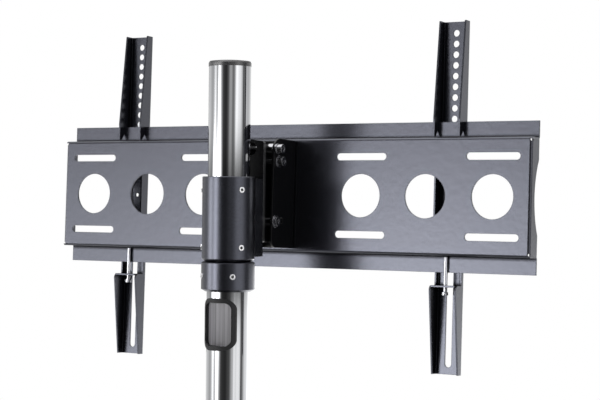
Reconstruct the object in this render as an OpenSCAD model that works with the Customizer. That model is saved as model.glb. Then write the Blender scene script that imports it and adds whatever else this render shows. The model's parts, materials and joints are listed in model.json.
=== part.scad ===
/* [Stand] */
// Height of the whole stand, from the floor to the top of the pole's cap
total_h = 1600; // [1200:10:2000]
// Width of the base plate, along the screen
base_w = 700; // [500:10:900]
// Depth of the base plate, from back to front
base_d = 560; // [420:10:700]
// Thickness of the base plate
base_t = 8; // [6:1:12]
// Corner radius of the base plate
base_corner_r = 70; // [30:5:120]
// Height of the rubber feet
foot_h = 12; // [8:1:20]
// Diameter of a rubber foot
foot_d = 50; // [36:2:60]

/* [Pole] */
// Outer diameter of the pole
pole_d = 60; // [50:1:70]
// Wall of the pole
pole_wall = 2.5; // [1.5:0.5:4]
// Diameter of the flange under the pole
flange_d = 150; // [130:5:200]
// Thickness of the flange under the pole
flange_t = 8; // [6:1:12]

/* [Cable openings] */
// Clear height of a cable opening
window_h = 60.4; // [40:0.2:80]
// Clear width of a cable opening, across the pole
window_w = 42.5; // [24:0.5:44]
// Drop from the stop collar to the rim of the upper cable opening
window_drop = 9; // [8:0.5:30]
// Height of the lower cable opening's middle above the flange
lower_window_rise = 130; // [80:5:250]

/* [Height and swivel] */
// Drop from the top of the pole to the top of the mount sleeve
sleeve_drop = 155.5; // [60:0.5:300]
// Height of the mount sleeve
sleeve_h = 118; // [100:1:160]
// Wall of the mount sleeve
sleeve_wall = 7.4; // [6:0.1:12]
// Height of the stop collar
collar_h = 43.5; // [30:0.5:60]
// Wall of the stop collar
collar_wall = 7.9; // [6:0.1:12]

/* [Tilt head] */
// Width of the spacer block and of the tilt plate
head_w = 44; // [40:1:48]
// Depth of the spacer block, from the front of the sleeve
block_depth = 20; // [12:0.5:40]
// Height of the spacer block
block_h = 112; // [90:1:118]
// Thickness of the tilt plate
plate_t = 6; // [4:1:10]
// Height of the tilt plate and of the lugs
plate_h = 145.7; // [136:0.1:160]
// Distance from the front of the tilt plate to the tilt pivot
pivot_reach = 20.3; // [16:0.1:30]
// Tilt of the screen panel as it stands, its top leaning forward
tilt = 2.2; // [0:0.1:9]
// Forward tilt that the lock slots allow, from upright
tilt_max = 12; // [10:0.5:12]
// Distance between the tilt pivot and the back of the screen panel
pivot_to_panel = 58; // [55:0.1:80]
// Height of the tilt pivot above the middle of the screen panel
pivot_rise = 64.5; // [60:0.5:65]

/* [Screen panel] */
// Length of the screen panel
panel_l = 800; // [720:5:1000]
// Height of the panel's main face
face_h = 167; // [165:1:175]
// Height of the panel over its two lips
panel_h = 214.4; // [205:0.2:230]
// Depth of the panel's folded section
panel_depth = 27.8; // [24:0.2:34]
// Thickness of the panel's sheet
panel_t = 2.5; // [2:0.1:3]
// Diameter of the round holes along the panel
round_hole_d = 62.8; // [40:0.2:80]
// Distance from the middle of the panel to its first round hole
round_hole_start = 136.5; // [100:0.5:140]
// Distance between two round holes
round_hole_pitch = 103.1; // [90:0.1:108]
// Length of a fixing slot
panel_slot_l = 81; // [40:1:90]
// Width of a fixing slot
panel_slot_w = 10.3; // [6:0.1:12]
// Distance of the fixing slots above and below the middle
panel_slot_rise = 56.5; // [50:0.5:64]

/* [TV brackets] */
// Height of a TV bracket
bracket_h = 504; // [460:2:560]
// Width of a TV bracket
bracket_w = 42; // [38:0.5:50]
// Thickness of a TV bracket's sheet
bracket_t = 2.5; // [2:0.1:3]
// Depth of a bracket's sides where they hook on the panel
bracket_depth = 28.5; // [28:0.5:32]
// Depth of a bracket's sides at its top end
bracket_top_depth = 16; // [10:0.5:22]
// Depth of a bracket's sides at its bottom end
bracket_bottom_depth = 13.5; // [10:0.5:22]
// Distance of the left bracket from the middle of the panel
left_bracket_x = 265; // [150:1:340]
// Distance of the right bracket from the middle of the panel
right_bracket_x = 285.5; // [150:1:340]
// Diameter of the bracket's screw holes
bracket_hole_d = 9.6; // [6:0.1:11]
// Number of screw holes in a bracket's upper part
bracket_hole_count = 9; // [4:1:9]
// Distance between two screw holes
bracket_hole_pitch = 15.4; // [12:0.1:15.6]

/* [Hidden] */

// Facets of a full circle
$fn = 96;
// Overrun of every cut past the face that it opens
over = 1;
// Clearance between a shaft and its hole
run_gap = 0.08;
// Clearance between a formed sheet and what it hooks over
hook_gap = 0.3;
// Clearance between two pieces that are fixed together
seat_gap = 0.05;
// Number of sides of a nut and of a key socket
hex_sides = 6;

// Colours of the pieces
satin_black = [0.13, 0.13, 0.14];
bolt_black = [0.09, 0.09, 0.1];
rubber_black = [0.06, 0.06, 0.065];
chrome = [0.85, 0.87, 0.89];
zinc = [0.72, 0.74, 0.77];

// Radii of the pole and the heights of the base
pole_r = pole_d / 2;
bore_r = pole_r - pole_wall;
base_top = foot_h + base_t;
flange_top = base_top + flange_t;

// Cap: a rim over the end of the pole, a low dome on it and a plug in the bore
cap_rim_h = 5;
cap_edge_h = 2.4;
cap_dome_h = 1.9;
cap_edge_in = 1.4;
cap_overhang = 0.3;
cap_plug_h = 14;
cap_dome_steps = 6;
cap_h = cap_rim_h + cap_edge_h + cap_dome_h;
pole_top = total_h - cap_h;

// Foot screws and the places of the feet
foot_inset = 62;
foot_taper = 3;
foot_screw_r = 3;
foot_screw_head_r = 6;
foot_screw_head_h = 4;
foot_screw_floor_gap = 2;

// Flange screws and the spigot that holds the pole
flange_screw_count = 6;
flange_screw_r = 5;
flange_screw_head_r = 8;
flange_screw_head_h = 10;
flange_screw_pitch_r = (pole_r + flange_d / 2) / 2 + flange_screw_r;
flange_screw_socket_r = 4.6;
flange_screw_socket_h = 5;
flange_edge = 2;
spigot_h = 50;

// Grommet: a rim on the pole around the opening and a neck through its wall
rim_proud = 2.4;
rim_side = 6.3;
rim_side_share = 0.7;
neck_wall = 1.5;
neck_in = 1;
window_corner_r = 9;

// Heights of the sleeve, the collar and the upper cable opening
sleeve_top = pole_top - sleeve_drop;
sleeve_bottom = sleeve_top - sleeve_h;
collar_gap = 0.3;
collar_top = sleeve_bottom - collar_gap;
collar_bottom = collar_top - collar_h;
upper_window_z = collar_bottom - window_drop - rim_side - window_h / 2;
lower_window_z = flange_top + lower_window_rise;
sleeve_in_r = pole_r + run_gap;
sleeve_r = sleeve_in_r + sleeve_wall;
collar_r = sleeve_in_r + collar_wall;
sleeve_edge = 0.8;
sleeve_lower_edge = 2.2;
collar_edge_in = 5.5;
collar_edge_h = 3.2;

// Set screws of the sleeve and the collar
set_screw_r = 4;
set_screw_proud = 1.3;
set_screw_socket_r = 2.3;
set_screw_socket_h = 4;
sleeve_screw_angle = 61;
sleeve_screw_inset = 18.5;
collar_screw_angle = 42;

// Tilt head: places along the depth, from the pole's axis forward
block_drop = 1.7;
block_front = sleeve_r + block_depth;
plate_front = block_front + plate_t;
pivot_d = plate_front + pivot_reach;
head_edge_r = 3;

// Tilt pivot's height and the plate's, with a round access hole in the plate
pivot_above_sleeve = 42;
pivot_z = sleeve_top + pivot_above_sleeve;
plate_above_pivot = 10.2;
plate_top = pivot_z + plate_above_pivot;
plate_bottom = plate_top - plate_h;
access_hole_r = 10;

// Lugs on the plate
lug_out = 14.5;
lug_t = 5;
lug_in = lug_out - lug_t;
lug_past_pivot = 15;
lug_depth = pivot_reach + lug_past_pivot;
lug_corner_r = 8;

// Pivot bolt
pivot_r = 4;
pivot_head_r = 6.65;
pivot_head_h = 8;
pivot_socket_r = 3.5;
pivot_socket_h = 4.4;
pivot_washer_r = 8;
pivot_washer_t = 3;
pivot_spacer_r = 7.75;
pivot_nut_r = 7.5;
pivot_nut_h = 6.5;
bolt_tail = 2;

// Ear bracket: two ears on the back of the panel
ear_t = 3;
ear_side_gap = 3.3;
ear_in = head_w / 2 + ear_side_gap;
ear_out = ear_in + ear_t;
ear_gap = 0.1;
ear_bend_r = 5;
ear_past_pivot = 7.4;
ear_depth = pivot_to_panel + ear_past_pivot;
ear_top_inset = 3.5;
ear_bottom_inset = 4.8;
ear_top = face_h / 2 - ear_top_inset;
ear_bottom = -(face_h / 2 - ear_bottom_inset);
ear_corner_r = 17;
ear_lower_corner_r = 12;

// Lock bolts: radius and bearing from the pivot, straight down being 0
lock_r = 4;
lock_head_r = 7;
upper_lock_head_h = 8;
lower_lock_head_h = 4;
lock_socket_r = 2.9;
lock_socket_h = 3;
lock_washer_r = 9.2;
lock_washer_t = 1.6;
lock_spacer_r = 6.5;
lock_nut_r = 7.5;
lock_nut_h = 6.5;
lock_slot_gap = 0.4;
lock_slot_end_relief = 0.15;
upper_lock_radius = 19;
upper_lock_angle = 17;
lower_lock_radius = 105.2;
lower_lock_angle = -1.7;

// Bolts that hold the ear bracket on the panel
mount_bolt_r = 3;
mount_bolt_x = 14;
mount_bolt_z = 46;
mount_bolt_head_r = 5.8;
mount_bolt_head_h = 4;
mount_nut_r = 5.8;
mount_nut_h = 5;

// Folds of the panel and its wavy end sides
panel_bend_r = 4;
end_side_depth = 26.5;
end_waist_depth = 13.2;
end_waist_r = 110;
relief_r = 2;
relief_in = 1.6;
slot_holes = [0, 2];

// TV bracket, in the panel's own frame: its front lies this far before the panel's back face
bracket_front = 40.3;
bracket_bend_r = 4;
lip_back = panel_depth - panel_t;
hook_top = panel_h / 2 + hook_gap;
hook_shoulder_rise = 3;
fang_tip_gap = 2.6;
fang_root_drop = 11;
fang_tip_w = 4.7;
bracket_mid_depth = 20;
bracket_mid_gap = 8;
bracket_lip_depth = 9.8;
tab_drop = 18.3;
tab_t = 2.5;
tab_web_gap = 1.8;
tab_corner_r = 7;
tab_corner_steps = 5;
tab_top = panel_h / 2 + tab_drop;
bracket_hole_inset = 16.4;
small_hole_r = 3;
bracket_slot_w = 10;
bracket_slot_start = 95;
bracket_slot_end_inset = 10;

// Locking screw under the lower lip
locking_r = 2.5;
locking_lip_gap = 1.2;
locking_y = lip_back - locking_lip_gap - locking_r;
locking_tip_gap = 1.5;
locking_l = 50;
locking_head_r = 4.6;
locking_head_h = 4.3;
locking_socket_r = 2;
locking_socket_h = 2;
locking_tip = -(face_h / 2 + locking_tip_gap);

// Points of an arc of radius r about c from angle a0 to a1 in a number of steps
function arc_points(c, r, a0, a1, steps) =
    [for (i = [0:steps]) let (a = a0 + (a1 - a0) * i / steps) c + r * [cos(a), sin(a)]];

// A rectangle with round corners
module rounded_rect(w, d, r) {
    square([w - 2 * r, d], center = true);
    square([w, d - 2 * r], center = true);
    for (sx = [-1, 1], sy = [-1, 1])
        translate([sx * (w / 2 - r), sy * (d / 2 - r)]) circle(r = r);
}

// A slot with round ends, along X
module slot(l, w) {
    square([l - w, w], center = true);
    for (s = [-1, 1]) translate([s * (l - w) / 2, 0]) circle(d = w);
}

// The quarter of a bend that lies towards sx, sy from its centre
module quarter_bend(r, t, sx, sy) {
    intersection() {
        difference() {
            circle(r = r);
            circle(r = r - t);
        }
        translate([sx > 0 ? 0 : -r, sy > 0 ? 0 : -r]) square(r);
    }
}

// A U-shaped sheet section: its web lies along X at y = 0 and its sides reach to y = depth
module u_section(w, depth, t, r) {
    translate([-(w / 2 - r), 0]) square([w - 2 * r, t]);
    for (s = [-1, 1]) {
        translate([s * (w / 2 - r), r]) quarter_bend(r, t, s, -1);
        translate([s > 0 ? w / 2 - t : -w / 2, r]) square([t, depth - r]);
    }
}

// Stands a flat shape drawn in Y and Z up, as thick as t about X = 0
module side_extrude(t) {
    rotate([90, 0, 90]) linear_extrude(height = t, center = true) children();
}

// Puts a cylinder along X, from x0 to x1
module x_cylinder(r, x0, x1) {
    translate([x0, 0, 0]) rotate([0, 90, 0]) cylinder(r = r, h = x1 - x0);
}

// A washer or a spacer along X
module x_ring(r, hole_r, x0, x1) {
    difference() {
        x_cylinder(r, x0, x1);
        x_cylinder(hole_r, x0 - over, x1 + over);
    }
}

// A hexagon nut along X
module x_nut(r, hole_r, x0, x1) {
    difference() {
        translate([x0, 0, 0]) rotate([0, 90, 0]) cylinder(r = r, h = x1 - x0, $fn = hex_sides);
        x_cylinder(hole_r, x0 - over, x1 + over);
    }
}

// A key socket that opens towards +Z at z = 0
module key_socket(r, h) {
    translate([0, 0, -h]) cylinder(r = r, h = h + over, $fn = hex_sides);
}

// Places a piece drawn in the panel's frame: origin on its back face, +Y towards the pole
module on_panel() {
    translate([0, -pivot_d, pivot_z]) rotate([tilt, 0, 0])
        translate([0, -pivot_to_panel, -pivot_rise]) children();
}

// Places a piece at the tilt pivot
module at_pivot() {
    translate([0, -pivot_d, pivot_z]) children();
}

// Places a piece at one or at both of the lock bolts, which stay with the lugs
module at_lock(radius, bearing) {
    at_pivot() rotate([-bearing, 0, 0]) translate([0, 0, -radius]) children();
}

module at_locks() {
    at_lock(upper_lock_radius, upper_lock_angle) children();
    at_lock(lower_lock_radius, lower_lock_angle) children();
}

// Places of the feet and of the flange screws
module at_feet() {
    for (sx = [-1, 1], sy = [-1, 1])
        translate([sx * (base_w / 2 - foot_inset), sy * (base_d / 2 - foot_inset), 0]) children();
}

module at_flange_screws() {
    for (i = [0:flange_screw_count - 1])
        rotate([0, 0, 360 / flange_screw_count * (i + 0.5)])
            translate([flange_screw_pitch_r, 0, 0]) children();
}

module base_plate() color(satin_black) {
    difference() {
        translate([0, 0, foot_h]) linear_extrude(height = base_t)
            rounded_rect(base_w, base_d, base_corner_r);
        at_flange_screws() translate([0, 0, foot_h - over])
            cylinder(r = flange_screw_r + seat_gap, h = base_t + 2 * over);
        at_feet() translate([0, 0, foot_h - over])
            cylinder(r = foot_screw_r + seat_gap, h = base_t + 2 * over);
    }
}

module foot_pads() color(rubber_black) {
    at_feet() difference() {
        cylinder(r1 = foot_d / 2 - foot_taper, r2 = foot_d / 2, h = foot_h);
        translate([0, 0, -over]) cylinder(r = foot_screw_r + seat_gap, h = foot_h + 2 * over);
        translate([0, 0, -over])
            cylinder(r = foot_screw_head_r + seat_gap,
                     h = foot_screw_floor_gap + foot_screw_head_h + over);
    }
}

module foot_screws() color(zinc) {
    at_feet() translate([0, 0, foot_screw_floor_gap]) difference() {
        union() {
            cylinder(r = foot_screw_head_r, h = foot_screw_head_h);
            cylinder(r = foot_screw_r, h = foot_h + base_t - foot_screw_floor_gap);
        }
        rotate([180, 0, 0]) key_socket(foot_screw_r / 2, foot_screw_head_h / 2);
    }
}

module pole_flange() color(satin_black) {
    difference() {
        union() {
            translate([0, 0, base_top]) cylinder(r = flange_d / 2, h = flange_t - flange_edge);
            translate([0, 0, flange_top - flange_edge])
                cylinder(r1 = flange_d / 2, r2 = flange_d / 2 - flange_edge, h = flange_edge);
            translate([0, 0, base_top])
                cylinder(r = bore_r - seat_gap, h = flange_t + spigot_h);
        }
        at_flange_screws() translate([0, 0, base_top - over])
            cylinder(r = flange_screw_r + seat_gap, h = flange_t + 2 * over);
    }
}

module flange_screws() color(bolt_black) {
    at_flange_screws() difference() {
        union() {
            translate([0, 0, foot_h]) cylinder(r = flange_screw_r, h = base_t + flange_t);
            translate([0, 0, flange_top]) cylinder(r = flange_screw_head_r, h = flange_screw_head_h);
        }
        translate([0, 0, flange_top + flange_screw_head_h])
            key_socket(flange_screw_socket_r, flange_screw_socket_h);
    }
}

// A window's outline pushed out along +Y from the pole's axis
module window_prism(w, h, r, z) {
    translate([0, 0, z]) rotate([-90, 0, 0]) linear_extrude(height = pole_d) rounded_rect(w, h, r);
}

module pole() color(chrome) {
    difference() {
        translate([0, 0, flange_top]) cylinder(r = pole_r, h = pole_top - flange_top);
        translate([0, 0, flange_top - over]) cylinder(r = bore_r, h = pole_top - flange_top + 2 * over);
        for (z = [upper_window_z, lower_window_z])
            window_prism(window_w + 2 * neck_wall, window_h + 2 * neck_wall,
                         window_corner_r + neck_wall, z);
    }
}

// Half the profile of the cap, from its plug's axis round to the middle of its dome
function cap_dome_points() =
    let (r = pole_r + cap_overhang - cap_edge_in,
         ball = (r * r + cap_dome_h * cap_dome_h) / (2 * cap_dome_h),
         a1 = asin(r / ball))
    [for (i = [0:cap_dome_steps])
        let (a = a1 * (1 - i / cap_dome_steps))
        [ball * sin(a), cap_h - ball + ball * cos(a)]];

module pole_cap() color(rubber_black) {
    translate([0, 0, pole_top]) rotate_extrude()
        polygon(concat([[0, -cap_plug_h], [bore_r - seat_gap, -cap_plug_h], [bore_r - seat_gap, 0],
                        [pole_r + cap_overhang, 0], [pole_r + cap_overhang, cap_rim_h]],
                       cap_dome_points()));
}

// A rubber grommet around the cable opening whose middle is at z
module grommet(z) {
    rim_x = rim_side * rim_side_share;
    difference() {
        union() {
            intersection() {
                window_prism(window_w + 2 * rim_x, window_h + 2 * rim_side,
                             window_corner_r + rim_side, z);
                translate([0, 0, z - window_h]) difference() {
                    cylinder(r = pole_r + rim_proud, h = 2 * window_h);
                    translate([0, 0, -over]) cylinder(r = pole_r + seat_gap, h = 2 * (window_h + over));
                }
            }
            intersection() {
                window_prism(window_w + 2 * (neck_wall - seat_gap), window_h + 2 * (neck_wall - seat_gap),
                             window_corner_r + neck_wall - seat_gap, z);
                translate([0, 0, z - window_h]) difference() {
                    cylinder(r = pole_r + rim_proud / 2, h = 2 * window_h);
                    translate([0, 0, -over]) cylinder(r = bore_r - neck_in, h = 2 * (window_h + over));
                }
            }
        }
        window_prism(window_w, window_h, window_corner_r, z);
    }
}

module upper_grommet() color(rubber_black) grommet(upper_window_z);

module lower_grommet() color(rubber_black) grommet(lower_window_z);

// Places a radial screw at an angle from straight back, its own +Z pointing outwards
module radial(angle, z) {
    translate([0, 0, z]) rotate([0, 0, 90 - angle]) rotate([0, 90, 0]) children();
}

// A set screw that ends just off the pole and stands proud of an outer radius
module set_screw(r_out) {
    difference() {
        translate([0, 0, pole_r + run_gap])
            cylinder(r = set_screw_r, h = r_out + set_screw_proud - pole_r - run_gap);
        translate([0, 0, r_out + set_screw_proud]) key_socket(set_screw_socket_r, set_screw_socket_h);
    }
}

module at_collar_screws() {
    for (s = [-1, 1]) radial(s * collar_screw_angle, collar_bottom + collar_h / 2) children();
}

module at_sleeve_screws() {
    for (s = [-1, 1], z = [sleeve_bottom + sleeve_screw_inset, sleeve_top - sleeve_screw_inset])
        radial(s * sleeve_screw_angle, z) children();
}

module stop_collar() color(satin_black) {
    difference() {
        union() {
            translate([0, 0, collar_bottom])
                cylinder(r1 = collar_r - collar_edge_in, r2 = collar_r, h = collar_edge_h);
            translate([0, 0, collar_bottom + collar_edge_h])
                cylinder(r = collar_r, h = collar_h - 2 * collar_edge_h);
            translate([0, 0, collar_top - collar_edge_h])
                cylinder(r1 = collar_r, r2 = collar_r - collar_edge_in, h = collar_edge_h);
        }
        translate([0, 0, collar_bottom - over]) cylinder(r = sleeve_in_r, h = collar_h + 2 * over);
        at_collar_screws() cylinder(r = set_screw_r + seat_gap, h = collar_r + over);
    }
}

module collar_set_screws() color(zinc) at_collar_screws() set_screw(collar_r);

module mount_sleeve() color(satin_black) {
    difference() {
        union() {
            translate([0, 0, sleeve_bottom])
                cylinder(r1 = sleeve_r - sleeve_lower_edge, r2 = sleeve_r, h = sleeve_lower_edge);
            translate([0, 0, sleeve_bottom + sleeve_lower_edge])
                cylinder(r = sleeve_r, h = sleeve_h - sleeve_lower_edge - sleeve_edge);
            translate([0, 0, sleeve_top - sleeve_edge])
                cylinder(r1 = sleeve_r, r2 = sleeve_r - sleeve_edge, h = sleeve_edge);
        }
        translate([0, 0, sleeve_bottom - over]) cylinder(r = sleeve_in_r, h = sleeve_h + 2 * over);
        at_sleeve_screws() cylinder(r = set_screw_r + seat_gap, h = sleeve_r + over);
    }
}

module sleeve_set_screws() color(zinc) at_sleeve_screws() set_screw(sleeve_r);

// Solid block that carries the tilt plate, hollowed to seat on the sleeve
module spacer_block() color(satin_black) {
    block_top = sleeve_top - block_drop;
    difference() {
        translate([-head_w / 2, -block_front, block_top - block_h])
            cube([head_w, block_front, block_h]);
        translate([0, 0, block_top - block_h - over])
            cylinder(r = sleeve_r + seat_gap, h = block_h + 2 * over);
    }
}

module tilt_plate() color(satin_black) {
    difference() {
        translate([0, -block_front, (plate_top + plate_bottom) / 2]) rotate([90, 0, 0])
            linear_extrude(height = plate_t) rounded_rect(head_w, plate_h, head_edge_r);
        translate([0, 0, pivot_z]) rotate([90, 0, 0]) cylinder(r = access_hole_r, h = pivot_d);
    }
}

// Lug of the tilt head on one side, drilled for the pivot and the lock bolts
module tilt_lug(s) {
    difference() {
        translate([s * (lug_in + lug_t / 2), 0, 0]) side_extrude(lug_t)
            translate([-plate_front - lug_depth, plate_bottom]) {
                translate([lug_corner_r, 0]) square([lug_depth - lug_corner_r, plate_h]);
                translate([0, lug_corner_r]) square([lug_depth, plate_h - 2 * lug_corner_r]);
                for (z = [lug_corner_r, plate_h - lug_corner_r])
                    translate([lug_corner_r, z]) circle(r = lug_corner_r);
            }
        at_pivot() x_cylinder(pivot_r + seat_gap, -lug_out - over, lug_out + over);
        at_locks() x_cylinder(lock_r + seat_gap, -lug_out - over, lug_out + over);
    }
}

module left_tilt_lug() color(satin_black) tilt_lug(-1);

module right_tilt_lug() color(satin_black) tilt_lug(1);

// A bolt along X: its head's underside at -reach and its tail a little past +reach
module x_bolt(r, reach, nut_h, head_r, head_h, socket_r, socket_h) {
    difference() {
        union() {
            x_cylinder(r, -reach, reach + nut_h + bolt_tail);
            x_cylinder(head_r, -reach - head_h, -reach);
        }
        translate([-reach - head_h, 0, 0]) rotate([0, -90, 0]) key_socket(socket_r, socket_h);
    }
}

module pivot_bolt() color(zinc) {
    at_pivot() x_bolt(pivot_r, ear_out + ear_gap + pivot_washer_t, pivot_nut_h,
                      pivot_head_r, pivot_head_h, pivot_socket_r, pivot_socket_h);
}

module pivot_nut() color(zinc) {
    x0 = ear_out + ear_gap + pivot_washer_t;
    at_pivot() x_nut(pivot_nut_r, pivot_r + seat_gap, x0, x0 + pivot_nut_h);
}

module pivot_washers() color(zinc) {
    x0 = ear_out + ear_gap;
    at_pivot() for (m = [0, 1]) mirror([m, 0, 0])
        x_ring(pivot_washer_r, pivot_r + seat_gap, x0, x0 + pivot_washer_t);
}

module pivot_spacers() color(zinc) {
    at_pivot() for (m = [0, 1]) mirror([m, 0, 0])
        x_ring(pivot_spacer_r, pivot_r + seat_gap, lug_out, ear_in - ear_gap);
}

module lock_bolts() color(bolt_black) {
    reach = ear_out + ear_gap + lock_washer_t;
    at_lock(upper_lock_radius, upper_lock_angle)
        x_bolt(lock_r, reach, lock_nut_h, lock_head_r, upper_lock_head_h, lock_socket_r, lock_socket_h);
    at_lock(lower_lock_radius, lower_lock_angle)
        x_bolt(lock_r, reach, lock_nut_h, lock_head_r, lower_lock_head_h, lock_socket_r, lock_socket_h);
}

module lock_nuts() color(bolt_black) {
    x0 = ear_out + ear_gap + lock_washer_t;
    at_locks() x_nut(lock_nut_r, lock_r + seat_gap, x0, x0 + lock_nut_h);
}

module lock_washers() color(bolt_black) {
    x0 = ear_out + ear_gap;
    at_locks() for (m = [0, 1]) mirror([m, 0, 0])
        x_ring(lock_washer_r, lock_r + seat_gap, x0, x0 + lock_washer_t);
}

module lock_spacers() color(bolt_black) {
    at_locks() for (m = [0, 1]) mirror([m, 0, 0])
        x_ring(lock_spacer_r, lock_r + seat_gap, lug_out, ear_in - ear_gap);
}

// One half of the folded section above the middle of the panel, in Y and Z
module panel_half_section() {
    h = face_h / 2;
    r = panel_bend_r;
    translate([-r, h - r]) quarter_bend(r, panel_t, 1, 1);
    translate([-(panel_depth - r), h - panel_t]) square([panel_depth - 2 * r, panel_t]);
    translate([-(panel_depth - r), h - panel_t + r]) quarter_bend(r, panel_t, -1, -1);
    translate([-panel_depth, h - panel_t + r]) square([panel_t, panel_h / 2 - h + panel_t - r]);
}

// Side at one end of the panel, folded forward and narrower at its middle
module panel_end(s) {
    r = panel_bend_r;
    difference() {
        translate([0, 0, -(face_h / 2 - r)]) linear_extrude(height = face_h - 2 * r) {
            translate([s * (panel_l / 2 - r), -r]) quarter_bend(r, panel_t, s, 1);
            translate([s > 0 ? panel_l / 2 - panel_t : -panel_l / 2, -end_side_depth])
                square([panel_t, end_side_depth - r]);
        }
        translate([s * panel_l / 2, -end_waist_depth - end_waist_r, 0])
            x_cylinder(end_waist_r, -2 * panel_bend_r, 2 * panel_bend_r);
    }
}

// Holes for the bolts that hold the ear bracket
module at_mount_bolts() {
    for (sx = [-1, 1], sz = [-1, 1]) translate([sx * mount_bolt_x, 0, sz * mount_bolt_z])
        rotate([90, 0, 0]) children();
}

module cross_panel() color(satin_black) on_panel() {
    difference() {
        union() {
            side_extrude(panel_l) {
                panel_half_section();
                mirror([0, 1]) panel_half_section();
            }
            side_extrude(panel_l - 2 * panel_bend_r)
                translate([-panel_t, -(face_h / 2 - panel_bend_r)])
                    square([panel_t, face_h - 2 * panel_bend_r]);
            for (s = [-1, 1]) panel_end(s);
        }
        for (sx = [-1, 1], i = [0:2]) translate([sx * (round_hole_start + i * round_hole_pitch), 0, 0])
            rotate([90, 0, 0]) translate([0, 0, -over]) cylinder(d = round_hole_d, h = panel_t + 2 * over);
        for (sx = [-1, 1], i = slot_holes, sz = [-1, 1])
            translate([sx * (round_hole_start + i * round_hole_pitch), over, sz * panel_slot_rise])
                rotate([90, 0, 0]) linear_extrude(height = panel_t + 2 * over)
                    slot(panel_slot_l, panel_slot_w);
        for (sx = [-1, 1], sz = [-1, 1])
            translate([sx * (panel_l / 2 - relief_in), over, sz * (face_h / 2 - panel_bend_r)])
                rotate([90, 0, 0]) cylinder(r = relief_r, h = panel_bend_r + 2 * over);
        at_mount_bolts() translate([0, 0, -over])
            cylinder(r = mount_bolt_r + seat_gap, h = panel_t + 2 * over);
    }
}

// A short slot for a bolt close to the pivot, straight from one end of the bolt's travel to the other
module short_slot(radius, bearing, w) {
    half = tilt_max / 2;
    rotate([-bearing - half, 0, 0]) translate([0, 0, -radius * cos(half)])
        side_extrude(4 * ear_out) slot(2 * radius * sin(half) + w, w);
}

// A slot along an arc about the pivot, seen from the bolt in it: it reaches past the bolt both ways
module arc_slot(radius, bearing, w) {
    back = tilt;
    ahead = tilt_max - tilt;
    rotate([-bearing - tilt, 0, 0]) rotate([0, 90, 0]) {
        translate([0, 0, -2 * ear_out]) rotate([0, 0, -ahead])
            rotate_extrude(angle = ahead + back) translate([radius - w / 2, 0]) square([w, 4 * ear_out]);
        for (a = [-ahead, back])
            rotate([0, 0, a]) translate([radius, 0, -2 * ear_out])
                cylinder(d = w + 2 * lock_slot_end_relief, h = 4 * ear_out);
    }
}

module ear_bracket() color(satin_black) on_panel() {
    difference() {
        intersection() {
            translate([0, 0, ear_bottom]) linear_extrude(height = ear_top - ear_bottom)
                u_section(2 * ear_out, ear_depth, ear_t, ear_bend_r);
            side_extrude(3 * ear_out) {
                difference() {
                    translate([0, ear_bottom]) square([ear_depth, ear_top - ear_bottom]);
                    translate([ear_depth - ear_corner_r, ear_top - ear_corner_r])
                        square(ear_corner_r + over);
                    translate([ear_depth - ear_lower_corner_r, ear_bottom - over])
                        square(ear_lower_corner_r + over);
                }
                translate([ear_depth - ear_corner_r, ear_top - ear_corner_r]) circle(r = ear_corner_r);
                translate([ear_depth - ear_lower_corner_r, ear_bottom + ear_lower_corner_r])
                    circle(r = ear_lower_corner_r);
            }
        }
        translate([0, pivot_to_panel, pivot_rise]) {
            x_cylinder(pivot_r + run_gap, -2 * ear_out, 2 * ear_out);
            short_slot(upper_lock_radius, upper_lock_angle, 2 * (lock_r + lock_slot_gap));
            arc_slot(lower_lock_radius, lower_lock_angle, 2 * (lock_r + lock_slot_gap));
        }
        at_mount_bolts() translate([0, 0, -ear_t - over])
            cylinder(r = mount_bolt_r + seat_gap, h = ear_t + 2 * over);
    }
}

module bracket_bolts() color(bolt_black) on_panel() {
    at_mount_bolts() {
        translate([0, 0, -ear_t]) cylinder(r = mount_bolt_r, h = ear_t + panel_t + mount_nut_h + bolt_tail);
        translate([0, 0, -ear_t - mount_bolt_head_h])
            cylinder(r = mount_bolt_head_r, h = mount_bolt_head_h);
    }
}

module bracket_nuts() color(bolt_black) on_panel() {
    at_mount_bolts() translate([0, 0, panel_t]) difference() {
        cylinder(r = mount_nut_r, h = mount_nut_h, $fn = hex_sides);
        translate([0, 0, -over]) cylinder(r = mount_bolt_r + seat_gap, h = mount_nut_h + 2 * over);
    }
}

// Outline of a bracket's side in Y and Z, hooked over the upper lip and cut away at the lower one
module bracket_outline() {
    front = -bracket_front;
    top = bracket_h / 2;
    hook_y = front + bracket_depth;
    fang_tip = face_h / 2 + fang_tip_gap;
    lip_y = front + bracket_lip_depth;
    mid_y = front + bracket_mid_depth;
    mid_z = face_h / 2 - bracket_mid_gap;
    polygon(concat([
        [front, top],
        [front + bracket_top_depth, top],
        [hook_y, hook_top + hook_shoulder_rise],
        [hook_y, fang_tip],
        [hook_y - fang_tip_w, fang_tip],
        [-lip_back + hook_gap, hook_top - fang_root_drop],
        [-lip_back + hook_gap, hook_top],
        [-panel_depth - hook_gap, hook_top],
        [lip_y, fang_tip],
        [mid_y, mid_z],
        [mid_y, -mid_z],
        [lip_y, -fang_tip],
        [lip_y, -tab_top]],
        arc_points([hook_y - tab_corner_r, -tab_top - tab_corner_r], tab_corner_r, 90, 0, tab_corner_steps),
        [[front + bracket_bottom_depth, -top], [front, -top]]));
}

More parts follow.
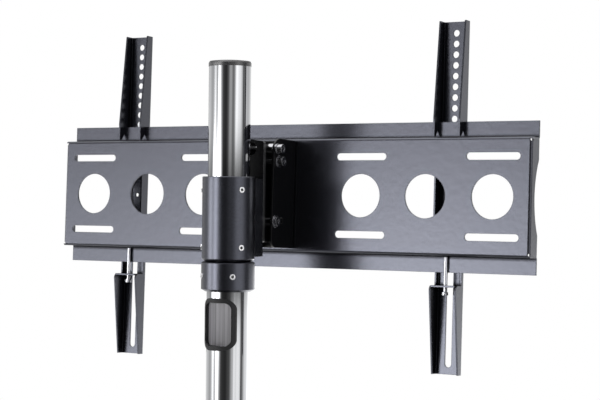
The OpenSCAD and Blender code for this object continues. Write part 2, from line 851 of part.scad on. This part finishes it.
module tv_bracket(x) {
    translate([x, 0, 0]) difference() {
        union() {
            intersection() {
                translate([0, -bracket_front, -bracket_h / 2]) linear_extrude(height = bracket_h)
                    u_section(bracket_w, bracket_depth, bracket_t, bracket_bend_r);
                side_extrude(2 * bracket_w) bracket_outline();
            }
            translate([-(bracket_w / 2 - bracket_t), -bracket_front + bracket_t + tab_web_gap,
                       -tab_top - tab_t])
                cube([bracket_w - 2 * bracket_t, bracket_depth - bracket_t - tab_web_gap, tab_t]);
        }
        translate([0, -bracket_front + bracket_t + over, 0]) rotate([90, 0, 0]) {
            for (i = [0:bracket_hole_count - 1])
                translate([0, bracket_h / 2 - bracket_hole_inset - i * bracket_hole_pitch, 0])
                    cylinder(d = bracket_hole_d, h = bracket_t + 2 * over);
            cylinder(r = small_hole_r, h = bracket_t + 2 * over);
            slot_l = bracket_h / 2 - bracket_slot_end_inset - bracket_slot_start;
            translate([0, -bracket_slot_start - slot_l / 2, 0]) rotate([0, 0, 90])
                linear_extrude(height = bracket_t + 2 * over) slot(slot_l, bracket_slot_w);
        }
        translate([0, -locking_y, -tab_top - tab_t - over])
            cylinder(r = locking_r + run_gap, h = tab_t + 2 * over);
    }
}

module left_tv_bracket() color(satin_black) on_panel() tv_bracket(-left_bracket_x);

module right_tv_bracket() color(satin_black) on_panel() tv_bracket(right_bracket_x);

// The screw that keeps a bracket from swinging off the lower lip, its head down
module locking_screw(x) {
    translate([x, -locking_y, locking_tip - locking_l]) difference() {
        union() {
            cylinder(r = locking_r, h = locking_l);
            translate([0, 0, -locking_head_h]) cylinder(r = locking_head_r, h = locking_head_h);
        }
        translate([0, 0, -locking_head_h]) rotate([180, 0, 0]) key_socket(locking_socket_r, locking_socket_h);
    }
}

module left_locking_screw() color(zinc) on_panel() locking_screw(-left_bracket_x);

module right_locking_screw() color(zinc) on_panel() locking_screw(right_bracket_x);

base_plate();
foot_pads();
foot_screws();
pole_flange();
flange_screws();
pole();
pole_cap();
upper_grommet();
lower_grommet();
stop_collar();
collar_set_screws();
mount_sleeve();
sleeve_set_screws();
spacer_block();
tilt_plate();
left_tilt_lug();
right_tilt_lug();
pivot_bolt();
pivot_nut();
pivot_washers();
pivot_spacers();
lock_bolts();
lock_nuts();
lock_washers();
lock_spacers();
cross_panel();
ear_bracket();
bracket_bolts();
bracket_nuts();
left_tv_bracket();
right_tv_bracket();
left_locking_screw();
right_locking_screw();
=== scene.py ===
import json
import math

import bmesh
import bpy
from mathutils import Matrix, Vector


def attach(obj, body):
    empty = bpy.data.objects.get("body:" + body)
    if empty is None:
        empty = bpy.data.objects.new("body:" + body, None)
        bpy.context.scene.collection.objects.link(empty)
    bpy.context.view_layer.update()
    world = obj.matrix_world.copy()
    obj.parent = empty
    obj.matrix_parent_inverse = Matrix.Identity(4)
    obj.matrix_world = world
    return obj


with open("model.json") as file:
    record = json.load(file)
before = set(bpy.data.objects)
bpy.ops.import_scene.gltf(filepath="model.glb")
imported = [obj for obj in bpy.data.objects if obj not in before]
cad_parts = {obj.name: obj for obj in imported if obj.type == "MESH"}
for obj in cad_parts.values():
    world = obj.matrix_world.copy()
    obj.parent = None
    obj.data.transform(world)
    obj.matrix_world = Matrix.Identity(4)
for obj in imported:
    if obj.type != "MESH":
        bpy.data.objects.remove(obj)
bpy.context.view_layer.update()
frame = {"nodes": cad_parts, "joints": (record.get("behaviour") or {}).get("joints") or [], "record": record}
nodes = frame["nodes"]

# Materials. Lengths are in metres, and a noise's scale is about the number of its spots in a metre
EDGE_ROUND = 0.001
GRAIN_DEPTH = 0.0001
WAVE_SCALE = 110.0
WAVE_STRENGTH = 0.4
WAVE_DEPTH = 0.0002
# Most values of a noise lie between these two
NOISE_LOW = 0.3
NOISE_HIGH = 0.7
# The usual strength of a coat's reflection
FULL_REFLECTION = 0.5


def socket(node, name, value):
    """Sets one input of a node, which is named or numbered."""
    node.inputs[name].default_value = value


def new_material(name, color, roughness, metallic=0.0):
    """A plain principled material, given back with its shader."""
    mat = bpy.data.materials.new(name)
    mat.use_nodes = True
    shader = mat.node_tree.nodes["Principled BSDF"]
    socket(shader, "Base Color", (*color, 1.0))
    socket(shader, "Roughness", roughness)
    socket(shader, "Metallic", metallic)
    return mat, shader


def add_node(mat, kind, **values):
    """A new node in the material, with its settings."""
    node = mat.node_tree.nodes.new(kind)
    for key, value in values.items():
        setattr(node, key, value)
    return node


def add_noise(mat, vector, scale, detail):
    """A noise texture over the given coordinates."""
    noise = add_node(mat, "ShaderNodeTexNoise")
    socket(noise, "Scale", scale)
    socket(noise, "Detail", detail)
    mat.node_tree.links.new(vector, noise.inputs["Vector"])
    return noise.outputs["Fac"]


def add_bump(mat, height, strength, depth, normal=None):
    """A bump that follows a height, on top of another normal where one is given."""
    bump = add_node(mat, "ShaderNodeBump")
    socket(bump, "Strength", strength)
    socket(bump, "Distance", depth)
    mat.node_tree.links.new(height, bump.inputs["Height"])
    if normal is not None:
        mat.node_tree.links.new(normal, bump.inputs["Normal"])
    return bump.outputs["Normal"]


def add_range(mat, value, low, high, start=0.0, end=1.0):
    """Turns a value that runs from start to end into one that runs from low to high."""
    spread = add_node(mat, "ShaderNodeMapRange")
    socket(spread, "From Min", start)
    socket(spread, "From Max", end)
    socket(spread, "To Min", low)
    socket(spread, "To Max", high)
    mat.node_tree.links.new(value, spread.inputs["Value"])
    return spread.outputs["Result"]


def add_stretched(mat, coord, across, along):
    """The object's coordinates, scaled across the pole and along it."""
    stretch = add_node(mat, "ShaderNodeMapping")
    socket(stretch, "Scale", (across, across, along))
    mat.node_tree.links.new(coord.outputs["Object"], stretch.inputs["Vector"])
    return stretch.outputs["Vector"]


def add_hollow(mat, reach, samples, power):
    """A value that is 1 on the open faces of a piece and falls towards 0 in its hollows and corners."""
    hollow = add_node(mat, "ShaderNodeAmbientOcclusion", only_local=True, samples=samples)
    socket(hollow, "Distance", reach)
    curve = add_node(mat, "ShaderNodeMath", operation="POWER")
    mat.node_tree.links.new(hollow.outputs["AO"], curve.inputs[0])
    socket(curve, 1, power)
    return curve.outputs["Value"]


def add_grain(mat, shader, scale, strength, spread):
    """A fine grain and a faint wave in the coat, soft edges and a slightly uneven roughness."""
    links = mat.node_tree.links
    coord = add_node(mat, "ShaderNodeTexCoord")
    grain = add_noise(mat, coord.outputs["Object"], scale, detail=3.0)
    edge = add_node(mat, "ShaderNodeBevel", samples=4)
    socket(edge, "Radius", EDGE_ROUND)
    wave = add_noise(mat, coord.outputs["Object"], WAVE_SCALE, detail=1.0)
    waved = add_bump(mat, wave, WAVE_STRENGTH, WAVE_DEPTH, edge.outputs["Normal"])
    links.new(add_bump(mat, grain, strength, GRAIN_DEPTH, waved), shader.inputs["Normal"])
    if spread:
        base = shader.inputs["Roughness"].default_value
        links.new(add_range(mat, grain, base - spread, base + spread), shader.inputs["Roughness"])


def add_drawn_lines(mat, shader, low, high):
    """Faint lines along the tube, left from its drawing and polishing, between two roughnesses."""
    links = mat.node_tree.links
    coord = add_node(mat, "ShaderNodeTexCoord")
    lines = add_noise(mat, add_stretched(mat, coord, across=700.0, along=6.0), scale=1.0, detail=4.0)
    rough = add_range(mat, lines, low, high, NOISE_LOW, NOISE_HIGH)
    links.new(rough, shader.inputs["Roughness"])
    links.new(add_bump(mat, lines, strength=0.1, depth=0.00005), shader.inputs["Normal"])


def add_dull_inside(mat, shader, inner, outer, color, roughness, metallic):
    """The tube's bore is bare drawn steel: the plating gives way to it between two radii."""
    links = mat.node_tree.links
    coord = add_node(mat, "ShaderNodeTexCoord")
    flat = add_node(mat, "ShaderNodeVectorMath", operation="MULTIPLY")
    socket(flat, 1, (1.0, 1.0, 0.0))
    links.new(coord.outputs["Object"], flat.inputs[0])
    radius = add_node(mat, "ShaderNodeVectorMath", operation="LENGTH")
    links.new(flat.outputs["Vector"], radius.inputs[0])
    plated = add_range(mat, radius.outputs["Value"], 0.0, 1.0, start=inner, end=outer)
    bare = add_node(mat, "ShaderNodeBsdfPrincipled")
    socket(bare, "Metallic", metallic)
    socket(bare, "Roughness", roughness)
    streaks = add_noise(mat, add_stretched(mat, coord, across=420.0, along=3.0), scale=1.0, detail=2.0)
    streaked = add_node(mat, "ShaderNodeVectorMath", operation="SCALE")
    socket(streaked, 0, color)
    links.new(add_range(mat, streaks, 0.5, 1.0, NOISE_LOW, NOISE_HIGH), streaked.inputs["Scale"])
    links.new(streaked.outputs["Vector"], bare.inputs["Base Color"])
    mix = add_node(mat, "ShaderNodeMixShader")
    links.new(plated, mix.inputs[0])
    links.new(bare.outputs["BSDF"], mix.inputs[1])
    links.new(shader.outputs["BSDF"], mix.inputs[2])
    links.new(mix.outputs["Shader"], mat.node_tree.nodes["Material Output"].inputs["Surface"])


def add_painted_corner_shade(mat, shader, reach, power):
    """Painted shade: the coat's reflection is turned down in the inner corners of the folded sheet, where
    shade falls.
    """
    links = mat.node_tree.links
    reflection = add_node(mat, "ShaderNodeMath", operation="MULTIPLY")
    links.new(add_hollow(mat, reach, samples=8, power=power), reflection.inputs[0])
    socket(reflection, 1, FULL_REFLECTION)
    links.new(reflection.outputs["Value"], shader.inputs["Specular IOR Level"])


def add_painted_hollow_shade(mat, shader, reach, dark, power):
    """Painted shade: the colour goes dark inside sockets and corners, where shade falls."""
    links = mat.node_tree.links
    mix = add_node(mat, "ShaderNodeMix", data_type="RGBA")
    links.new(add_hollow(mat, reach, samples=6, power=power), mix.inputs["Factor"])
    # The mix has a pair of inputs and an output for each kind of data, and these are the colours
    socket(mix, 6, (*dark, 1.0))
    socket(mix, 7, shader.inputs["Base Color"].default_value)
    links.new(mix.outputs[2], shader.inputs["Base Color"])


def add_painted_side_highlight(mat, shader, face, side):
    """Painted highlight: the plate's sides, which face left and right, reflect more than its face, whose
    weak reflection is painted shade.

    Face and side are their refractive indices.
    """
    links = mat.node_tree.links
    coord = add_node(mat, "ShaderNodeTexCoord")
    parts = add_node(mat, "ShaderNodeSeparateXYZ")
    links.new(coord.outputs["Normal"], parts.inputs["Vector"])
    sideways = add_node(mat, "ShaderNodeMath", operation="ABSOLUTE")
    links.new(parts.outputs["X"], sideways.inputs[0])
    index = add_range(mat, sideways.outputs["Value"], face, side, start=0.5, end=0.9)
    links.new(index, shader.inputs["IOR"])


# The black coats differ in how much they shine; two of them are darker copies of the same coat, painted
# shade for the parts that stand in shade
COAT_COLOR = (0.0015, 0.0015, 0.002)


def black_coat(name, roughness, ior, tint=(1.0, 1.0, 1.0), grain=1800.0, strength=0.12, spread=0.03):
    """A black powder coat; the tint is the colour of its reflections."""
    mat, shader = new_material(name, COAT_COLOR, roughness)
    socket(shader, "IOR", ior)
    socket(shader, "Specular Tint", (*tint, 1.0))
    add_grain(mat, shader, grain, strength, spread)
    return mat, shader


satin_black, satin_shader = black_coat("satin_black_coat", roughness=0.26, ior=1.85, tint=(0.81, 0.84, 1.0))
# Painted shade in the folds of the satin coat
add_painted_corner_shade(satin_black, satin_shader, reach=0.006, power=5.0)
soft_black, _ = black_coat("soft_black_coat", roughness=0.28, ior=1.9, tint=(0.8, 0.83, 1.0),
                           grain=1500.0, strength=0.18, spread=0.04)
# Painted shade: a darker copy of the coat, for the ear bracket and the lugs
shaded_black, _ = black_coat("shaded_black_coat", roughness=0.3, ior=1.4)
# Painted shade: the darkest copy of the coat, for the tilt plate's face
deep_shade_black, deep_shade_shader = black_coat("deep_shade_black_coat", roughness=0.36, ior=1.22)
# Painted highlight on the tilt plate's sides
add_painted_side_highlight(deep_shade_black, deep_shade_shader, face=1.2, side=2.3)

# Plastic, rubber and the screws
cap_black, cap_shader = new_material("cap_plastic", (0.02, 0.02, 0.021), roughness=0.32)
socket(cap_shader, "IOR", 1.85)
add_grain(cap_black, cap_shader, scale=2200.0, strength=0.2, spread=0.05)
rubber, rubber_shader = new_material("soft_rubber", (0.006, 0.006, 0.007), roughness=0.6)
add_grain(rubber, rubber_shader, scale=2500.0, strength=0.15, spread=0.0)
bolt_black, bolt_shader = new_material("black_oxide", (0.3, 0.3, 0.32), roughness=0.16, metallic=1.0)
add_grain(bolt_black, bolt_shader, scale=1500.0, strength=0.1, spread=0.04)
zinc, zinc_shader = new_material("bright_zinc", (0.88, 0.88, 0.9), roughness=0.22, metallic=0.75)
add_grain(zinc, zinc_shader, scale=900.0, strength=0.08, spread=0.05)
# Painted shade in the zinc's sockets and corners
add_painted_hollow_shade(zinc, zinc_shader, reach=0.003, dark=(0.02, 0.02, 0.02), power=2.0)
dull_zinc, dull_zinc_shader = new_material("dull_zinc", (0.86, 0.87, 0.92), roughness=0.36, metallic=1.0)
add_grain(dull_zinc, dull_zinc_shader, scale=900.0, strength=0.1, spread=0.06)
steel, steel_shader = new_material("polished_steel", (0.45, 0.45, 0.47), roughness=0.14, metallic=1.0)
add_grain(steel, steel_shader, scale=900.0, strength=0.06, spread=0.04)

# The pole is plated outside and bare inside, and changes from one to the other within its wall
POLE_RADIUS = 0.03
POLE_WALL = 0.0025
PLATING_MARGIN = 0.0002
BARE_STEEL = (0.95, 0.94, 0.97)
chrome, chrome_shader = new_material("chrome_plate", (0.39, 0.395, 0.405), roughness=0.05, metallic=1.0)
add_drawn_lines(chrome, chrome_shader, low=0.035, high=0.075)
add_dull_inside(chrome, chrome_shader, POLE_RADIUS - POLE_WALL + PLATING_MARGIN,
                POLE_RADIUS - PLATING_MARGIN, BARE_STEEL, roughness=0.45, metallic=0.35)

# What each piece is made of: by its slot in the record, and for some pieces by name
SLOT_FINISH = {
    "satin_black": satin_black,
    "bolt_black": bolt_black,
    "rubber_black": rubber,
    "cap_black": cap_black,
    "chrome": chrome,
    "zinc": zinc,
}
OWN_FINISH = {
    "pivot_bolt": steel,
    "pivot_spacers": steel,
    # Painted shade: the ear bracket, the tilt plate and the lugs take darker copies of the black coat
    "ear_bracket": shaded_black,
    "mount_sleeve": soft_black,
    "stop_collar": soft_black,
    "tilt_plate": deep_shade_black,
    "left_tilt_lug": shaded_black,
    "right_tilt_lug": shaded_black,
    "left_locking_screw": dull_zinc,
    "right_locking_screw": dull_zinc,
}
slot_of = {row["node"]: row["material_slot"] for row in frame["record"]["subparts"]}
for name, obj in nodes.items():
    finish = OWN_FINISH.get(name, SLOT_FINISH[slot_of[name]])
    if not obj.material_slots:
        obj.data.materials.append(finish)
    for place in obj.material_slots:
        place.material = finish

# The cross panel, measured from the middle of its back face. Its end sides stop at the bends, and a
# small piece at each corner carries them on to the lip, with the round relief left open behind it
PANEL_HALF_LENGTH = 0.4
PANEL_HALF_FACE = 0.0835
PANEL_SHEET = 0.0025
PANEL_BEND = 0.004
END_SIDE_DEPTH = 0.0265
RELIEF_GAP = 0.0006
CORNER_OVERLAP = 0.0003
CORNER_INSET = 0.00005
CORNER_X = (PANEL_HALF_LENGTH - PANEL_SHEET + CORNER_INSET, PANEL_HALF_LENGTH - CORNER_INSET)
CORNER_Y = (-END_SIDE_DEPTH + 2 * CORNER_INSET, -PANEL_BEND - RELIEF_GAP)
CORNER_Z = (PANEL_HALF_FACE - PANEL_BEND - CORNER_OVERLAP, PANEL_HALF_FACE - PANEL_SHEET + CORNER_OVERLAP)

# The travel of the tilt joint begins with the panel upright, so at rest the panel leans by that angle
PANEL_FROM_PIVOT = Vector((0.0, -0.058, -0.0645))
tilt_joint = next(joint for joint in frame["joints"] if joint["name"] == "tilt")
pivot = Vector(tilt_joint["pos_m"])
panel_tilt = Matrix.Rotation(math.radians(-tilt_joint["range_deg"][0]), 4, "X")

# A block's sides, by the numbers of its corners
BLOCK_SIDES = ((0, 1, 3, 2), (4, 6, 7, 5), (0, 4, 5, 1), (2, 3, 7, 6), (0, 2, 6, 4), (1, 5, 7, 3))


def from_panel(x, y, z):
    """A place given from the middle of the cross panel's back face, in the stand's own frame."""
    return pivot + panel_tilt @ (PANEL_FROM_PIVOT + Vector((x, y, z)))


def panel_block(name, xs, ys, zs):
    """A small block on the cross panel, between two places each way."""
    mesh = bpy.data.meshes.new(name)
    shape = bmesh.new()
    points = [shape.verts.new(from_panel(x, y, z)) for x in xs for y in ys for z in zs]
    for side in BLOCK_SIDES:
        shape.faces.new([points[i] for i in side])
    bmesh.ops.recalc_face_normals(shape, faces=shape.faces)
    shape.to_mesh(mesh)
    shape.free()
    mesh.materials.append(satin_black)
    obj = bpy.data.objects.new(name, mesh)
    bpy.context.collection.objects.link(obj)
    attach(obj, "panel")


for side_name, side in (("left", 1), ("right", -1)):
    for lip_name, lip in (("upper", 1), ("lower", -1)):
        xs = sorted(side * x for x in CORNER_X)
        zs = sorted(lip * z for z in CORNER_Z)
        panel_block(f"panel_corner_{side_name}_{lip_name}", xs, CORNER_Y, zs)

# Studio: soft light panels on both sides of the camera, pale walls behind the stand and a pale
# floor, as a sky whose brightness goes by the direction; the camera itself sees plain white.
# Each part is a row of levels around the stand times a row of levels up the wall, by degrees;
# zero around is the camera's side, with the image's right counted up
VIEW_TURN = 29.9
SKY_PARTS = [
    # The walls and what stands in front of them
    ([(-180, 1.1), (-157, 1.25), (-125, 1.15), (-108, 0.9), (-98, 0.75), (-90, 0.4), (-60, 0.3),
      (-49, 0.34), (-42, 0.25), (-34, 0.13), (-24, 0.07), (-12, 0.05), (-4, 0.06), (4, 0.12),
      (14, 0.16), (24, 0.2), (67, 0.2), (77, 0.1), (84, 0.1), (92, 0.45), (106, 1.15), (122, 1.0),
      (140, 1.2), (155, 1.3), (180, 1.1)],
     [(-90, 0.5), (-40, 0.8), (-15, 1.0), (-4, 0.95), (-2.5, 0.35), (0.5, 0.35), (2.5, 1.05),
      (8, 0.75), (14, 0.5), (30, 0.4), (90, 0.4)]),
    # A pale strip beside the camera, above eye level
    ([(-180, 0.0), (-16, 0.0), (-8, 0.12), (-2, 0.3), (3, 0.8), (12, 0.8), (18, 0.3), (24, 0.1),
      (30, 0.0), (180, 0.0)],
     [(-90, 0.0), (0, 0.0), (1.8, 0.7), (4, 0.8), (10, 0.6), (20, 0.3), (90, 0.2)]),
    # The large panel on the left, brightest near eye level
    ([(-180, 0.0), (-102, 0.0), (-96, 0.15), (-90, 0.5), (-83, 1.0), (-78, 0.9), (-71, 0.3),
      (-65, 0.25), (-60, 0.33), (-53, 0.35), (-47, 0.2), (-40, 0.06), (-32, 0.0), (180, 0.0)],
     [(-90, 0.2), (-30, 0.6), (-14, 1.7), (-5, 2.5), (-3, 10.5), (0.8, 10.5), (2.5, 2.4), (4.5, 1.8),
      (7, 1.0), (10, 0.55), (14, 0.35), (20, 0.2), (90, 0.2)]),
    # Its bright edge, nearest the camera
    ([(-180, 0.0), (-68, 0.0), (-63, 0.4), (-59, 1.0), (-54, 1.0), (-49, 0.5), (-45, 0.2), (-39, 0.05),
      (-34, 0.0), (180, 0.0)],
     [(-90, 0.0), (-20, 0.3), (-8, 2.0), (-3, 8.5), (1.2, 8.5), (3, 4.6), (5, 2.3), (7.5, 1.3),
      (11, 0.7), (16, 0.3), (25, 0.1), (90, 0.0)]),
    # The narrow panel on the right
    ([(-180, 0.0), (22, 0.0), (28, 0.15), (33, 0.45), (38, 0.95), (44, 1.05), (52, 0.85), (62, 0.75),
      (68, 0.6), (74, 0.4), (80, 0.1), (84, 0.0), (180, 0.0)],
     [(-90, 0.2), (-30, 0.5), (-14, 1.5), (-5, 1.7), (-3, 0.15), (1, 0.15), (2.5, 2.2), (7, 2.4),
      (12, 1.2), (18, 0.6), (35, 0.3), (90, 0.3)]),
    # Its lower part reaches further to both sides
    ([(-180, 0.0), (14, 0.0), (20, 0.3), (26, 0.6), (34, 0.1), (50, 0.0), (56, 0.4), (64, 0.6),
      (72, 0.9), (78, 0.5), (82, 0.0), (180, 0.0)],
     [(-90, 0.2), (-30, 0.5), (-14, 1.0), (-4.5, 1.0), (-3, 0.0), (90, 0.0)]),
    # The ceiling, lit evenly
    ([(-180, 1.0), (180, 1.0)],
     [(-90, 0.0), (32, 0.0), (50, 1.2), (90, 1.5)]),
    # The lit floor towards the right
    ([(-180, 0.0), (100, 0.0), (112, 0.3), (140, 0.5), (152, 1.0), (168, 1.0), (178, 0.2), (180, 0.0)],
     [(-90, 0.3), (-40, 0.8), (-15, 1.6), (-4, 1.8), (-1.5, 0.8), (1, 0.0), (90, 0.0)]),
]

world = bpy.data.worlds.new("studio")
bpy.context.scene.world = world
world.use_nodes = True
sky_tree = world.node_tree
sky = sky_tree.nodes["Background"]
socket(sky, "Color", (1.0, 1.0, 1.0, 1.0))


def sky_math(operation, first, second=None, third=None):
    """One step of arithmetic in the sky, on numbers or on other steps."""
    node = sky_tree.nodes.new("ShaderNodeMath")
    node.operation = operation
    for place, value in enumerate((first, second, third)):
        if value is None:
            continue
        if isinstance(value, (int, float)):
            socket(node, place, value)
        else:
            sky_tree.links.new(value, node.inputs[place])
    return node.outputs[0]


def sky_ramp(value, stops, low, high):
    """Brightness by angle: a ramp whose stops are given in degrees."""
    node = sky_tree.nodes.new("ShaderNodeValToRGB")
    share = sky_math("DIVIDE", sky_math("SUBTRACT", value, low), high - low)
    sky_tree.links.new(share, node.inputs["Fac"])
    ramp = node.color_ramp
    while len(ramp.elements) < len(stops):
        ramp.elements.new(0.5)
    for element, (angle, _) in zip(ramp.elements, stops):
        element.position = (angle - low) / (high - low)
    # A stop that is moved can change the order of the stops, so their levels are set afterwards
    for element, (_, bright) in zip(ramp.elements, stops):
        element.color = (bright, bright, bright, 1.0)
    return node.outputs["Color"]


direction = sky_tree.nodes.new("ShaderNodeTexCoord").outputs["Generated"]
direction_parts = sky_tree.nodes.new("ShaderNodeSeparateXYZ")
sky_tree.links.new(direction, direction_parts.inputs["Vector"])
turned_x = sky_math("MULTIPLY", direction_parts.outputs["X"], -1.0)
around = sky_math("ARCTAN2", turned_x, direction_parts.outputs["Y"])
around = sky_math("MULTIPLY", around, 180.0 / math.pi)
around = sky_math("WRAP", sky_math("SUBTRACT", around, VIEW_TURN), 180.0, -180.0)
upward = sky_math("MULTIPLY", sky_math("ARCSINE", direction_parts.outputs["Z"]), 180.0 / math.pi)
level = 0.0
for around_stops, upward_stops in SKY_PARTS:
    by_turn = sky_ramp(around, around_stops, low=-180, high=180)
    by_height = sky_ramp(upward, upward_stops, low=-90, high=90)
    part_level = sky_math("MULTIPLY", by_turn, by_height)
    level = sky_math("ADD", part_level, level)
seen = sky_tree.nodes.new("ShaderNodeLightPath").outputs["Is Camera Ray"]
unseen_level = sky_math("MULTIPLY", level, sky_math("SUBTRACT", 1.0, seen))
sky_tree.links.new(sky_math("ADD", unseen_level, seen), sky.inputs["Strength"])

# The floor, which fades to the wall's white between two distances from the stand
FLOOR_COLOR = (0.86, 0.86, 0.86)
FLOOR_REACH = 6.0
FADE_START = 1.0
FADE_END = 4.5


def fade_to_white(mat, shader, near, far):
    """Far from the stand the floor is seen as plain white, like the wall behind it."""
    links = mat.node_tree.links
    coord = add_node(mat, "ShaderNodeTexCoord")
    away = add_node(mat, "ShaderNodeVectorMath", operation="LENGTH")
    links.new(coord.outputs["Object"], away.inputs[0])
    part = add_node(mat, "ShaderNodeMapRange", interpolation_type="SMOOTHSTEP")
    socket(part, "From Min", near)
    socket(part, "From Max", far)
    links.new(away.outputs["Value"], part.inputs["Value"])
    path = add_node(mat, "ShaderNodeLightPath")
    both = add_node(mat, "ShaderNodeMath", operation="MULTIPLY")
    links.new(part.outputs["Result"], both.inputs[0])
    links.new(path.outputs["Is Camera Ray"], both.inputs[1])
    white = add_node(mat, "ShaderNodeEmission")
    mix = add_node(mat, "ShaderNodeMixShader")
    links.new(both.outputs["Value"], mix.inputs[0])
    links.new(shader.outputs["BSDF"], mix.inputs[1])
    links.new(white.outputs["Emission"], mix.inputs[2])
    links.new(mix.outputs["Shader"], mat.node_tree.nodes["Material Output"].inputs["Surface"])


floor_mat, floor_shader = new_material("floor", FLOOR_COLOR, roughness=0.9)
fade_to_white(floor_mat, floor_shader, FADE_START, FADE_END)
floor_mesh = bpy.data.meshes.new("studio_floor")
floor_signs = ((-1, -1), (1, -1), (1, 1), (-1, 1))
floor_corners = [(x * FLOOR_REACH, y * FLOOR_REACH, 0.0) for x, y in floor_signs]
floor_mesh.from_pydata(floor_corners, [], [(0, 1, 2, 3)])
floor_mesh.materials.append(floor_mat)
floor = bpy.data.objects.new("studio_floor", floor_mesh)
bpy.context.collection.objects.link(floor)
# The plating mirrors the studio's lit and dark parts below eye level too, not this plain floor
floor.visible_glossy = False


# Lamps: a large one above the stand and a small one beside the camera
def area_light(name, place, target, size, power):
    """A square lamp at a place, turned towards its target."""
    lamp = bpy.data.lights.new(name, "AREA")
    lamp.shape = "SQUARE"
    lamp.size = size
    lamp.energy = power
    obj = bpy.data.objects.new(name, lamp)
    bpy.context.collection.objects.link(obj)
    obj.location = place
    obj.rotation_euler = (Vector(target) - Vector(place)).to_track_quat("-Z", "Y").to_euler()
    return obj


area_light("top_lamp", place=(0.4, 1.2, 3.6), target=(0, 0, 0.6), size=2.0, power=12)
fill_lamp = area_light("fill_lamp", place=(-1.0, 2.2, 1.3), target=(0, 0, 1.23), size=0.5, power=14)
fill_lamp.visible_glossy = False

# Camera, solved from the photograph: its place, the way it looks, its roll in radians and its lens
CAMERA_PLACE = Vector((-1.2388, 1.9522, 1.4027))
CAMERA_FORWARD = Vector((0.498495, -0.866893, 0.00028))
CAMERA_ROLL = 0.010175
SENSOR_WIDTH = 36.0
FOCAL_LENGTH = 98.0
FAR_LIMIT = 50.0
camera_data = bpy.data.cameras.new("camera")
camera_data.sensor_width = SENSOR_WIDTH
camera_data.lens = FOCAL_LENGTH
camera_data.clip_end = FAR_LIMIT
camera = bpy.data.objects.new("camera", camera_data)
bpy.context.collection.objects.link(camera)
bpy.context.scene.camera = camera
forward = CAMERA_FORWARD.normalized()
level_right = forward.cross(Vector((0, 0, 1))).normalized()
level_up = level_right.cross(forward)
right = level_right * math.cos(CAMERA_ROLL) + level_up * math.sin(CAMERA_ROLL)
up = level_up * math.cos(CAMERA_ROLL) - level_right * math.sin(CAMERA_ROLL)
turn = Matrix((right, up, -forward)).transposed().to_4x4()
turn.translation = CAMERA_PLACE
camera.matrix_world = turn

bpy.context.scene.view_settings.view_transform = "Standard"
